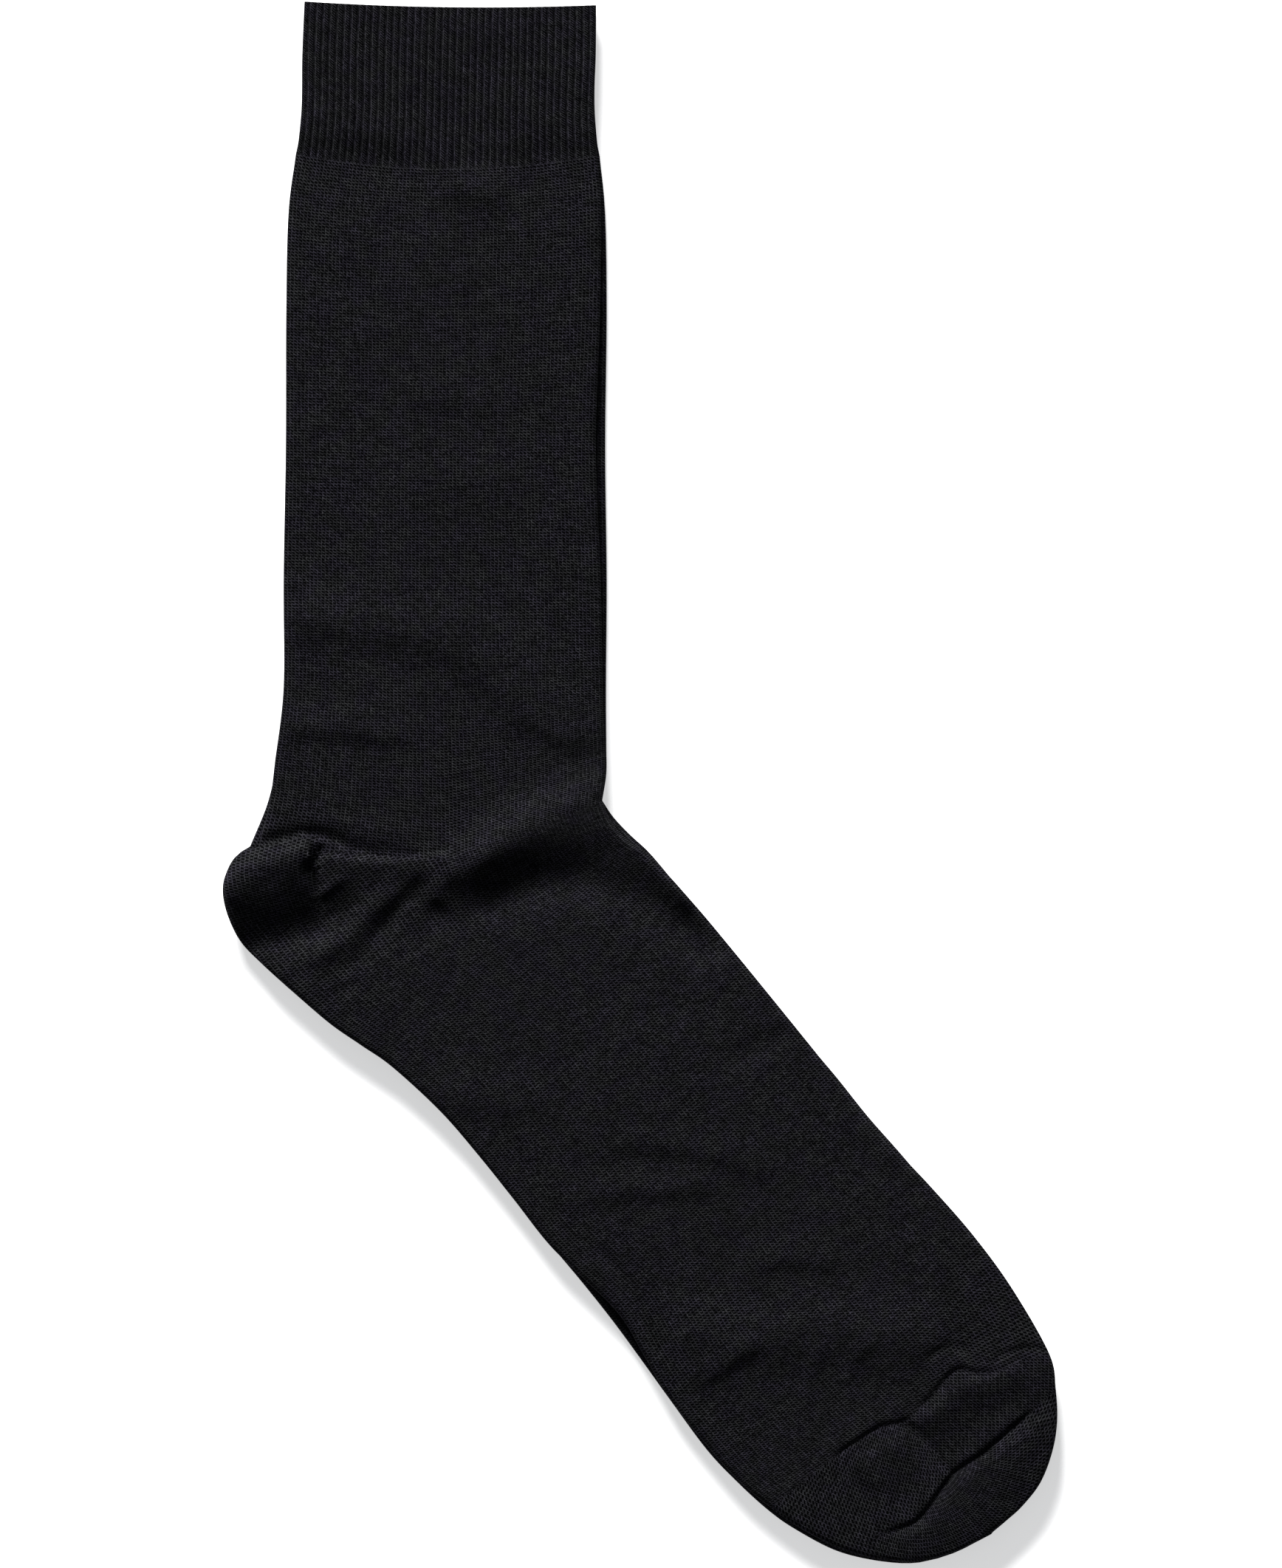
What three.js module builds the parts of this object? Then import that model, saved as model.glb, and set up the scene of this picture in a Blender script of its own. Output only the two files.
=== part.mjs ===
// A pair of men's plain-knit socks laid flat on a table, one sock on the other, both seen from the side.
// Each sock is one knitted tube in five zones: a 1x1 ribbed cuff, the leg, the heel pocket, the foot and the
// toe pocket. The tube lies pressed flat, as two panels that turn into each other at the folded edges.
// X runs from the back of the leg to the front, +Y up the leg to the cuff, and +Z up from the table.

import * as THREE from "three";

// Driving dimensions, in millimetres
const WALL = 1; // thickness of the knitted cloth
const RIBS = 84; // 1x1 ribs round a cuff, half of them on each panel
const RIB_HEIGHT = 0.3;
const SLACK = 0.4; // air between the two panels of a cuff
const SEAM_GAP = 0.3; // between two knitted zones, and between the two socks
const SOCK_HEIGHT = 2 * (WALL + RIB_HEIGHT) + SLACK; // of one flattened sock at its edges
const CROWN = 0.5; // how much higher the middle of a panel is
const EDGE_ROUND = 1.8; // how wide a folded edge is, from its outermost point to the flat of the panel
const COLOUR = 0x1b1b1f;

// A table's first line names its columns and each further line is a row
function table(columns, ...rows) {
  return rows.map((row) => Object.fromEntries(columns.map((column, i) => [column, row[i]])));
}

// Sections from the cuff down to the ankle, measured on the upper sock. Each follows one knitted course from
// the back edge over the middle of the panel to the front edge. hinge is 0 where the course is a smooth arc
// and 1 where it turns sharply in the middle. showsBack and showsFront are how far the lower sock shows past
// the upper one, and are negative where it is hidden.
const LEG = table(
  ["at", "back", "mid", "front", "hinge", "showsBack", "showsFront"],
  ["cuff edge", [-91.5, 211.8], [-51.6, 210.2], [-11.8, 210.8], 0, -0.5, -0.5],
  ["cuff middle", [-92.1, 197.3], [-52.0, 195.6], [-11.9, 197.0], 0, -0.5, -0.2],
  ["cuff waist", [-92.3, 183.0], [-52.3, 180.0], [-12.4, 183.0], 0, -0.5, 0.2],
  ["cuff seam", [-93.5, 170.6], [-52.7, 166.5], [-11.9, 170.2], 0, -0.5, 0.7],
  ["calf top", [-95.5, 154.3], [-53.1, 151.5], [-10.8, 154.3], 0, -0.5, 1.1],
  ["calf", [-96.1, 127.3], [-53.6, 126.0], [-11.1, 127.3], 0, -0.5, 1.8],
  ["calf pulled in", [-96.2, 91.3], [-54.0, 90.5], [-12.2, 91.3], 0, -0.5, 2.5],
  ["shin", [-96.8, 55.3], [-54.0, 54.8], [-10.9, 55.3], 0, -0.5, 1.6],
  ["above the ankle", [-96.8, 26.3], [-53.6, 24.8], [-10.4, 26.3], 0.2, -0.5, 0.9],
  ["ankle bulge", [-99.1, 6.3], [-53.3, 3.0], [-9.9, 10.3], 0.5, -0.2, 0.5],
  ["ankle pulling in", [-100.6, -5.0], [-53.0, -9.5], [-9.8, 2.6], 0.8, 0.6, 0.4],
  ["gore line and notch", [-102.1, -16.9], [-52.9, -20.3], [-10.5, -4.5], 1, 2.4, 0],
);

// Sections from the ankle along the foot to the tip of the toe; back is the sole and front is the instep
const FOOT = table(
  ["at", "back", "mid", "front", "hinge", "showsBack", "showsFront"],
  ["end of the heel pocket", [-95.9, -54.9], [-52.9, -20.3], [-10.5, -4.5], 1, 0.1, 0],
  ["arch", [-84.5, -64.7], [-47.2, -32.5], [-8.3, -9.7], 0.6, 0.1, 1.1],
  ["below the notch", [-75.9, -70.7], [-40.2, -40.8], [-3.9, -14.9], 0.3, 0, 1.5],
  ["instep", [-67.3, -76.7], [-32.2, -48.1], [2.9, -19.9], 0, -0.3, 0.4],
  ["waist of the foot", [-54.3, -88.7], [-19.7, -60.8], [14.9, -33.1], 0, -0.5, -0.5],
  ["foot 1", [-43.9, -100.7], [-9.4, -72.9], [25.1, -45.3], 0, -0.5, -0.5],
  ["foot 2", [-34.3, -112.7], [0.3, -84.9], [34.9, -57.3], 0, -0.5, -0.5],
  ["foot 3", [-24.9, -124.7], [9.7, -96.7], [44.3, -68.9], 0, -0.2, -0.2],
  ["sole drawn in", [-15.1, -134.3], [19.0, -107.0], [53.1, -79.9], 0, 1.2, 0.2],
  ["sole drawn in most", [-5.7, -143.9], [27.7, -116.9], [61.1, -90.1], 0, 2.6, 0.3],
  ["ball of the foot", [0.9, -154.9], [35.3, -127.2], [69.7, -99.7], 0, 1.4, 0.2],
  ["ball end", [7.9, -166.7], [43.4, -138.0], [78.9, -109.5], 0, 0.2, -0.4],
  ["toes", [18.5, -179.9], [54.1, -150.6], [89.9, -122.1], 0, 0.9, -0.4],
  ["before the toe seam", [26.5, -188.7], [63.8, -161.6], [100.3, -136.3], 0.3, 0.7, -0.4],
  ["toe seam", [35.3, -196.1], [73.8, -172.1], [110.5, -154.1], 0.5, 1.2, -0.3],
  ["toe pocket", [42.9, -201.3], [79.8, -180.7], [112.3, -163.7], 0.4, 1.4, -0.3],
  ["toe pocket 2", [54.3, -207.3], [84.9, -188.6], [112.7, -172.7], 0.2, 1.3, -0.3],
  ["toe pocket 3", [66.3, -210.1], [89.0, -193.6], [111.3, -181.1], 0, 1.2, -0.2],
  ["toe pocket 4", [76.3, -210.4], [91.6, -197.2], [108.1, -189.3], 0, 1.1, 0.1],
  ["toe pocket 5", [85.3, -207.9], [93.2, -199.5], [103.3, -195.5], 0, 1, 0.4],
  ["tip", [90.3, -205.5], [94.2, -201.1], [99.4, -199.1], 0, 0.8, 0.6],
);

// Courses of the heel pocket, fanned about the inner end of the gore line, by where they meet the back edge
const HEEL = table(
  ["at", "back", "showsBack"],
  ["top of the heel tab", [-104.6, -17.2], 0.1],
  ["tab corner", [-109.9, -19.9], -0.8],
  ["tab side", [-112.5, -24.7], -1],
  ["back of the heel", [-113.1, -29.9], -1],
  ["heel turning", [-111.7, -36.1], -0.8],
  ["heel underside", [-108.3, -42.9], -0.5],
  ["heel to sole", [-102.7, -48.7], 0],
  ["end of the heel pocket", [-95.9, -54.9], 0.1],
);
const GORE_END = [-52.9, -20.3]; // inner end of the gore line, where the heel courses fan out
const GORE_HOLE = 0.8; // how far from it they start

// Soft folds in the upper sock's top panel. Each runs from, over by, to; it is high at the middle of its run,
// wide across, and fades at its ends. A negative height is a trough.
const FOLDS = table(
  ["at", "from", "by", "to", "high", "wide"],
  ["ankle ridge", [0, -13], [-25, -10.5], [-57, -30], 4, 6.5],
  ["heel tab", [-121, -31], [-101, -23.5], [-83, -17], 4.4, 6.5],
  ["under the tab", [-112, -40], [-95, -38], [-72, -28], -0.4, 4],
  ["heel ridge", [-57, -19], [-73, -30], [-99, -50], 1.7, 4.5],
  ["sole ridge", [-55, -28], [-66, -41], [-83, -57], 1.4, 4.5],
  ["shin swell", [-14, 60], [-26, 34], [-50, 14], 0.8, 12],
  ["cuff dimple", [-56, 160], [-46, 156], [-34, 154], -0.4, 6],
  ["foot swell", [6, -60], [-4, -84], [-2, -112], 0.7, 16],
  ["lip over the toe seam", [114, -146], [80, -159], [46, -184], 1.5, 5],
  ["toe pillow", [110, -161], [88, -175], [60, -192], 1.6, 6],
  ["roll at the tip", [112, -178], [98, -191], [78, -206], 1.1, 5],
);

// Straight mixing of two numbers or of two points, and evenly spaced numbers
const mix = (a, b, t) => a + (b - a) * t;
const mix2 = (a, b, t) => [mix(a[0], b[0], t), mix(a[1], b[1], t)];
const spaced = (from, to, count) => Array.from({ length: count }, (_, i) => mix(from, to, i / (count - 1)));
const distance = (a, b) => Math.hypot(a[0] - b[0], a[1] - b[1]);

// The height of one fold over a point of the plan, from the nearest of the points along its run
function foldHeight({ from, by, to, high, wide }, point) {
  const pull = mix2(mix2(from, to, 0.5), by, 2);
  let [nearest, along] = [Infinity, 0];
  for (const t of spaced(0, 1, 25)) {
    const off = distance(mix2(mix2(from, pull, t), mix2(pull, to, t), t), point);
    if (off < nearest) [nearest, along] = [off, t];
  }
  const fade = Math.sqrt(Math.sin(Math.PI * Math.min(Math.max(along, 0.03), 0.97)));
  return high * fade * Math.exp(-((nearest / wide) ** 2));
}

// A smooth value at a place between the rows of a table, for a column of numbers or of [x, y] points
function between(rows, column, place) {
  const isPoint = Array.isArray(rows[0][column]);
  const values = rows.map((row) => new THREE.Vector3(...(isPoint ? row[column] : [row[column], 0]), 0));
  const { x, y } = new THREE.CatmullRomCurve3(values, false, "catmullrom").getPoint(place / (rows.length - 1));
  return isPoint ? [x, y] : x;
}

// The section of a sock at a place along a table. The lower sock's edges lie where they show in the plan.
function sectionAt(rows, place, layer) {
  const columns = Object.keys(rows[0]).filter((column) => column !== "at");
  const row = Object.fromEntries(columns.map((column) => [column, between(rows, column, place)]));
  if (rows === HEEL) {
    row.front = mix2(GORE_END, row.back, GORE_HOLE / distance(GORE_END, row.back));
    row.mid = mix2(row.back, row.front, 0.5);
    Object.assign(row, { hinge: 1, showsFront: 0 });
  }
  if (layer === "lower") {
    const moveOut = (edge, by) => mix2(row.mid, edge, 1 + by / distance(row.mid, edge));
    row.back = moveOut(row.back, row.showsBack);
    row.front = moveOut(row.front, row.showsFront);
  }
  return { ...row, width: distance(row.back, row.front) };
}

// The plan point a share s of the way along a section, mixed from a smooth arc and two straight runs
function planPoint({ back, mid, front, hinge }, s) {
  const turned = s < 0.5 ? mix2(back, mid, 2 * s) : mix2(mid, front, 2 * s - 1);
  const arc = [0, 1].map(
    (k) => (1 - s) * (1 - 2 * s) * back[k] + 4 * s * (1 - s) * mid[k] + s * (2 * s - 1) * front[k],
  );
  return mix2(arc, turned, hinge);
}

// A point of a ring, a depth in from the outer face of the cloth. s is the share of the way from the back
// edge to the front edge, and level runs from -1 on the bottom panel to 1 on the top one.
function ringPoint(layer, row, { s, level }, depth, standOff) {
  const share = mix(depth / row.width, 1 - depth / row.width, s);
  const point = planPoint(row, share);
  const floor = layer === "lower" ? 0 : SOCK_HEIGHT + CROWN + SEAM_GAP;
  const crown = CROWN * Math.sqrt(Math.sin(Math.PI * Math.min(Math.max(share, 0), 1)));
  const folds = layer === "lower" ? 0 : FOLDS.reduce((sum, fold) => sum + foldHeight(fold, point), 0);
  const half = (SOCK_HEIGHT + crown + folds) / 2;
  return [point[0] + standOff[0], point[1] + standOff[1], floor + half + level * (half - depth)];
}

// The steps round a section: the folded back edge, the top panel, the folded front edge, the bottom panel.
// A heel pocket has no front edge: it runs from the gore line below, round the back, to the gore line above.
function stepsRound(row, { fold, top, under }, isPocket) {
  const round = Math.min(EDGE_ROUND / row.width, 0.3);
  const turn = spaced(-Math.PI / 2, Math.PI / 2, fold + 2).slice(1, -1);
  const backEdge = turn.map((angle) => ({ s: round * (1 - Math.cos(angle)), level: Math.sin(angle) }));
  const frontEdge = backEdge.map(({ s, level }) => ({ s: 1 - s, level: -level }));
  const end = isPocket ? 1 : 1 - round;
  const topPanel = spaced(round, end, top).map((s) => ({ s, level: 1 }));
  const bottomPanel = spaced(end, round, under).map((s) => ({ s, level: -1 }));
  if (isPocket) return [...bottomPanel, ...backEdge, ...topPanel];
  return [...backEdge, ...topPanel, ...frontEdge, ...bottomPanel];
}

// Neighbouring points of a loop, and its last with its first where it closes
function neighbours(loop, isClosed) {
  const pairs = loop.map((point, i) => [point, loop[(i + 1) % loop.length]]);
  return isClosed ? pairs : pairs.slice(0, -1);
}

// Faces of a strip between two loops with as many points
function strip(here, next, isClosed, facesOut) {
  const further = neighbours(next, isClosed);
  return neighbours(here, isClosed).flatMap(([a, b], i) => {
    const [c, d] = further[i];
    return facesOut ? [a, c, d, a, d, b] : [a, d, c, a, b, d];
  });
}

// Faces of the rim that joins the outer loop to an inner one, which may have fewer points
function rim({ outer, inner }, isClosed, isFirst) {
  const every = Math.round(outer.length / inner.length);
  return neighbours(inner, isClosed).flatMap(([near, far], i) => {
    const over = Array.from({ length: every + 1 }, (_, e) => outer[(i * every + e) % outer.length]);
    const triangles = neighbours(over, false).map(([a, b], e) => [a, b, e < every / 2 ? near : far]);
    triangles.push([over[Math.ceil(every / 2)], far, near]);
    return triangles.flatMap(([a, b, c]) => (isFirst ? [a, b, c] : [b, a, c]));
  });
}

// One knitted zone as a closed mesh, from one place of a table to another. Its end rings stand off from the
// next zones by startOff and endOff. It is open at both ends, but for a toe, which closes at its tip.
function zone(name, layer, rows, run) {
  const { from = 0, to = rows.length - 1, rings, count, startOff, endOff, ribbed } = run;
  const isPocket = rows === HEEL;
  const closesAtTip = !endOff;
  const wall = ribbed ? WALL + RIB_HEIGHT : WALL;
  const vertices = [];
  const add = (point) => vertices.push(...point) / 3 - 1;
  const loops = spaced(from, to, rings).map((place, k) => {
    const row = sectionAt(rows, place, layer);
    const steps = stepsRound(row, count, isPocket);
    const standOff = (k === 0 ? startOff : k === rings - 1 ? endOff : null) ?? [0, 0];
    const outer = steps.map((step, i) => {
      const restsFlat = layer === "lower" && step.level === -1;
      const isValley = ribbed && i % 2 === 1 && !restsFlat;
      return add(ringPoint(layer, row, step, isValley ? RIB_HEIGHT : 0, standOff));
    });
    const inside = ribbed ? steps.filter((_, i) => i % 2 === 0) : steps;
    return { outer, inner: inside.map((step) => add(ringPoint(layer, row, step, wall, standOff))) };
  });

  const faces = loops.slice(1).flatMap((next, k) => [
    ...strip(loops[k].outer, next.outer, !isPocket, true),
    ...strip(loops[k].inner, next.inner, !isPocket, false),
  ]);
  faces.push(...rim(loops[0], !isPocket, true));
  const last = loops.at(-1);
  if (closesAtTip) {
    const [before, end] = [sectionAt(rows, to - 0.1, layer).mid, sectionAt(rows, to, layer).mid];
    const middle = vertices[3 * last.outer[0] + 2];
    const tipAt = (reach) => add([...mix2(before, end, 1 + reach / distance(before, end)), middle]);
    const [outerTip, innerTip] = [tipAt(EDGE_ROUND), tipAt(EDGE_ROUND - WALL)];
    faces.push(...neighbours(last.outer, true).flatMap(([a, b]) => [a, outerTip, b]));
    faces.push(...neighbours(last.inner, true).flatMap(([a, b]) => [a, b, innerTip]));
  } else {
    faces.push(...rim(last, !isPocket, false));
  }
  if (isPocket) {
    const edge = (at) => loops.map(({ outer, inner }) => [outer.at(at), inner.at(at)]);
    faces.push(...neighbours(edge(0), false).flatMap(([a, b]) => strip(a, b, false, false)));
    faces.push(...neighbours(edge(-1), false).flatMap(([a, b]) => strip(a, b, false, true)));
  }

  const geometry = new THREE.BufferGeometry();
  geometry.setAttribute("position", new THREE.Float32BufferAttribute(vertices, 3));
  geometry.setIndex(faces);
  geometry.computeVertexNormals();
  const material = new THREE.MeshStandardMaterial({ color: COLOUR, roughness: 0.95, metalness: 0 });
  const mesh = new THREE.Mesh(geometry, material);
  mesh.name = name;
  return mesh;
}

// How an end ring stands off by half the seam gap, along the leg or along the foot to the lower right
const half = SEAM_GAP * 0.55;
const upLeg = [0, half];
const downLeg = [0, -half];
const downFoot = [half * 0.63, -half * 0.78];
const upFoot = [-half * 0.63, half * 0.78];

// One sock as its five zones. The upper one has finer rings for its folds. Ribs take two folded edges of
// three steps each, and the rest of their peaks and valleys are on the panels.
function sock(layer) {
  const isUpper = layer === "upper";
  const count = { fold: 4, top: isUpper ? 24 : 9, under: 8 };
  const heelCount = { fold: 4, top: isUpper ? 15 : 6, under: 6 };
  const panel = RIBS - 3;
  const ribCount = { fold: 3, top: panel, under: isUpper ? panel : 21 };
  const seamOf = (rows, name) => rows.findIndex(({ at }) => at === name);
  const cuffSeam = seamOf(LEG, "cuff seam");
  const toeSeam = seamOf(FOOT, "toe seam");
  const cuffRun = { to: cuffSeam, rings: 4, startOff: [0, 0], endOff: upLeg };
  const legRun = { from: cuffSeam, rings: isUpper ? 15 : 9, startOff: downLeg, endOff: upLeg };
  const heelRun = { rings: isUpper ? 12 : 8, startOff: downLeg, endOff: upFoot };
  const footRun = { to: toeSeam, rings: isUpper ? 20 : 12, startOff: downFoot, endOff: upFoot };
  const toeRun = { from: toeSeam, rings: isUpper ? 9 : 7, startOff: downFoot };
  return [
    zone(`${layer}_cuff`, layer, LEG, { ...cuffRun, count: ribCount, ribbed: true }),
    zone(`${layer}_leg`, layer, LEG, { ...legRun, count }),
    zone(`${layer}_heel`, layer, HEEL, { ...heelRun, count: heelCount }),
    zone(`${layer}_foot`, layer, FOOT, { ...footRun, count }),
    zone(`${layer}_toe`, layer, FOOT, { ...toeRun, count }),
  ];
}

// The lower sock lies on the table and the upper one on it. The origin is under the middle of the pair.
const pair = new THREE.Group();
pair.add(...sock("lower"), ...sock("upper"));
const middle = new THREE.Box3().setFromObject(pair).getCenter(new THREE.Vector3());
for (const mesh of pair.children) mesh.geometry.translate(-middle.x, -middle.y, 0);

export default pair;
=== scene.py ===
import math

import bmesh
import bpy
import numpy as np
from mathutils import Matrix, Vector


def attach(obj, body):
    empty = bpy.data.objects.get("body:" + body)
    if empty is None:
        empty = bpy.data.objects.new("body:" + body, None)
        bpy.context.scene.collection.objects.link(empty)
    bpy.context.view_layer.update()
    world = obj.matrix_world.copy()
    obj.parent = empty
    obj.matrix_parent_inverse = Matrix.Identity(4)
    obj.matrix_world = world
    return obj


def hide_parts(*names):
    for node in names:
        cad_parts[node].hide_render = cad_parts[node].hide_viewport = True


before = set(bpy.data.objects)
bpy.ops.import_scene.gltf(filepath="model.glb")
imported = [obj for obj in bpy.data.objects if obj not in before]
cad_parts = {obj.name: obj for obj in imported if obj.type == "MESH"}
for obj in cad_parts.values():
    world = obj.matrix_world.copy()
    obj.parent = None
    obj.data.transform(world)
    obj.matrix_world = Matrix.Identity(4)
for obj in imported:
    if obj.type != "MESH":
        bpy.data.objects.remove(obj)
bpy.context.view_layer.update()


# Table, camera and light.
# The pair lies on a white table. The camera looks straight down on it. The main lamp stands beyond the cuffs,
# so cloth that slopes towards the cuffs is light and cloth that slopes towards the toes is dark.

MM = 0.001
FRAME_HEIGHT = 424.6 * MM
CAMERA_HEIGHT = 2.6
MIDDLE_OF_PAIR = 5 * MM
PICTURE_MIDDLE = (0.178, -0.368)  # mm from the middle of the pair's outline, which is the origin


def lamp(name, size, energy, place):
    """A soft area lamp that points at the middle of the pair."""
    light = bpy.data.lights.new(name, "AREA")
    light.shape = "RECTANGLE"
    light.size, light.size_y = size
    light.energy = energy
    holder = bpy.data.objects.new(name, light)
    bpy.context.collection.objects.link(holder)
    holder.location = place
    holder.rotation_euler = (-Vector(place)).to_track_quat("-Z", "Y").to_euler()


table_mesh = bpy.data.meshes.new("table")
shape = bmesh.new()
bmesh.ops.create_grid(shape, x_segments=1, y_segments=1, size=3)
shape.to_mesh(table_mesh)
shape.free()
table = bpy.data.objects.new("table", table_mesh)
bpy.context.collection.objects.link(table)
table_finish = bpy.data.materials.new("white_table")
table_finish.use_nodes = True
table_surface = table_finish.node_tree.nodes["Principled BSDF"]
table_surface.inputs["Base Color"].default_value = (0.9, 0.9, 0.9, 1)
table_surface.inputs["Roughness"].default_value = 0.9
table_surface.inputs["Specular IOR Level"].default_value = 0.1
table_surface.inputs["Emission Color"].default_value = (1, 1, 1, 1)
table_surface.inputs["Emission Strength"].default_value = 0.55
table_mesh.materials.append(table_finish)

camera = bpy.data.objects.new("camera", bpy.data.cameras.new("camera"))
bpy.context.collection.objects.link(camera)
camera.location = (PICTURE_MIDDLE[0] * MM, PICTURE_MIDDLE[1] * MM, CAMERA_HEIGHT)
camera.data.sensor_fit = "VERTICAL"
camera.data.sensor_height = 36
camera.data.lens = 36 * (CAMERA_HEIGHT - MIDDLE_OF_PAIR) / FRAME_HEIGHT
camera.data.clip_end = 20
bpy.context.scene.camera = camera

lamp("main_lamp", (1.4, 1.0), 440, (-0.9, 3.7, 1.86))
sky = bpy.data.worlds.new("studio")
sky.use_nodes = True
soft_light = sky.node_tree.nodes["Background"]
soft_light.inputs["Color"].default_value = (0.9, 0.94, 1, 1)
soft_light.inputs["Strength"].default_value = 0.14
backdrop = sky.node_tree.nodes.new("ShaderNodeBackground")
backdrop.inputs["Color"].default_value = (0.8, 0.81, 0.82, 1)
seen = sky.node_tree.nodes.new("ShaderNodeLightPath")
chosen = sky.node_tree.nodes.new("ShaderNodeMixShader")
sky.node_tree.links.new(seen.outputs["Is Camera Ray"], chosen.inputs["Fac"])
sky.node_tree.links.new(soft_light.outputs["Background"], chosen.inputs[1])
sky.node_tree.links.new(backdrop.outputs["Background"], chosen.inputs[2])
sky.node_tree.links.new(chosen.outputs["Shader"], sky.node_tree.nodes["World Output"].inputs["Surface"])
bpy.context.scene.world = sky
bpy.context.scene.view_settings.view_transform = "Standard"


# Knitted tube of the lower sock: leg, heel pocket, foot and toe pocket.
# One fine plain-knit tube of 168 stitches round, in charcoal black wool mix. It lies pressed flat, so its two
# panels lie on each other and turn into each other in soft rounded folds. Its underside rests on the table.

WALL = 0.8
SOCK_HEIGHT = 3.0
CROWN = 0.5
EDGE_ROUND = 1.8
SOCK_GAP = 0.3
NARROW = 8  # the tube thins towards its closed tip where it is narrower than this
WALES = 84  # stitches across one panel
COURSE_PITCH = 0.8

# Courses down the leg, in mm. Each runs from the back edge over the middle of the panel to the front edge.
# hinge is 0 for a smooth arc and 1 for a sharp turn in the middle. rows is how finely the cloth above it is
# meshed. The last two say how far the lower sock shows past the upper one.
leg_courses = [
    # name, back, middle, front, hinge, rows, shows at the back, shows at the front
    ("cuff seam", (-93.5, 170.6), (-52.7, 166.5), (-11.9, 170.2), 0, 0, -0.5, 0.7),
    ("calf top", (-95.5, 154.3), (-53.1, 151.5), (-10.8, 154.3), 0, 8, -0.5, 1.1),
    ("calf", (-96.1, 127.3), (-53.6, 126.0), (-11.1, 127.3), 0, 8, -0.5, 1.8),
    ("calf pulled in", (-96.2, 91.3), (-54.0, 90.5), (-12.2, 91.3), 0, 10, -0.5, 2.5),
    ("shin", (-96.8, 55.3), (-54.0, 54.8), (-10.9, 55.3), 0, 10, -0.5, 1.6),
    ("above the ankle", (-96.8, 26.3), (-53.6, 24.8), (-10.4, 26.3), 0.2, 10, -0.5, 0.9),
    ("ankle bulge", (-99.1, 6.3), (-53.3, 3.0), (-9.9, 10.3), 0.5, 12, -0.2, 0.5),
    ("ankle pulling in", (-100.6, -5.0), (-53.0, -9.5), (-9.8, 2.6), 0.8, 14, 0.6, 0.4),
    ("gore line and notch", (-103.6, -17.0), (-52.9, -20.3), (-10.5, -4.5), 1, 16, 2.4, 0),
]
heel_courses = [
    # name, back edge, rows, shows at the back
    ("top of the heel tab", (-103.6, -17.0), 0, 2.4),
    ("tab corner", (-109.5, -19.4), 10, 0),
    ("tab side", (-112.5, -24.7), 10, -1),
    ("back of the heel", (-113.1, -29.9), 10, -1),
    ("heel turning", (-111.7, -36.1), 10, -0.8),
    ("heel underside", (-108.3, -42.9), 10, -0.5),
    ("heel to sole", (-102.7, -48.7), 8, 0),
    ("end of the heel pocket", (-95.9, -54.9), 8, 0.1),
]
foot_courses = [
    ("end of the heel pocket", (-95.9, -54.9), (-52.9, -20.3), (-10.5, -4.5), 1, 0, 0.1, 0),
    ("arch", (-84.5, -64.7), (-47.2, -32.5), (-8.3, -9.7), 0.6, 14, 0.1, 1.1),
    ("below the notch", (-75.9, -70.7), (-40.2, -40.8), (-3.9, -14.9), 0.3, 9, 0, 1.5),
    ("instep", (-67.3, -76.7), (-32.2, -48.1), (2.9, -19.9), 0, 8, -0.3, 0.4),
    ("waist of the foot", (-54.3, -88.7), (-19.7, -60.8), (14.9, -33.1), 0, 7, -0.5, -0.5),
    ("foot 1", (-43.9, -100.7), (-9.4, -72.9), (25.1, -45.3), 0, 7, -0.5, -0.5),
    ("foot 2", (-34.3, -112.7), (0.3, -84.9), (34.9, -57.3), 0, 7, -0.5, -0.5),
    ("foot 3", (-24.9, -124.7), (9.7, -96.7), (44.3, -68.9), 0, 7, -0.2, -0.2),
    ("sole drawn in", (-15.1, -134.3), (19.0, -107.0), (53.1, -79.9), 0, 7, 1.2, 0.2),
    ("sole drawn in most", (-5.7, -143.9), (27.7, -116.9), (61.1, -90.1), 0, 7, 2.6, 0.3),
    ("ball of the foot", (0.9, -154.9), (35.3, -127.2), (69.7, -99.7), 0, 8, 1.4, 0.2),
    ("ball end", (7.9, -166.7), (43.4, -138.0), (78.9, -109.5), 0, 9, 0.2, -0.4),
    ("toes", (18.5, -179.9), (54.1, -150.6), (89.9, -122.1), 0, 14, 0.9, -0.4),
    ("before the toe seam", (26.5, -188.7), (63.8, -161.6), (100.3, -136.3), 0.3, 22, 0.7, -0.4),
    ("toe seam", (35.3, -196.1), (73.8, -172.1), (110.5, -154.1), 0.5, 24, 1.2, -0.3),
    ("toe pocket", (42.9, -201.3), (79.8, -180.7), (112.3, -163.7), 0.4, 24, 1.4, -0.3),
    ("toe pocket 2", (54.3, -207.3), (84.9, -188.6), (112.7, -172.7), 0.2, 22, 1.3, -0.3),
    ("toe pocket 3", (66.3, -210.1), (89.0, -193.6), (111.3, -181.1), 0, 14, 1.2, -0.2),
    ("toe pocket 4", (76.3, -210.4), (91.6, -197.2), (108.1, -189.3), 0, 9, 1.1, 0.1),
    ("toe pocket 5", (85.3, -207.9), (93.2, -199.5), (103.3, -195.5), 0, 5, 1, 0.4),
    ("tip", (90.3, -205.5), (94.2, -201.1), (99.4, -199.1), 0, 4, 0.8, 0.6),
    ("closed tip", (94.9, -203.1), (95.0, -202.9), (95.1, -202.7), 0, 3, 0.8, 0.6),
]
GORE_END = (-52.9, -20.3)
NOTCH = (-10.5, -4.5)


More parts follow.
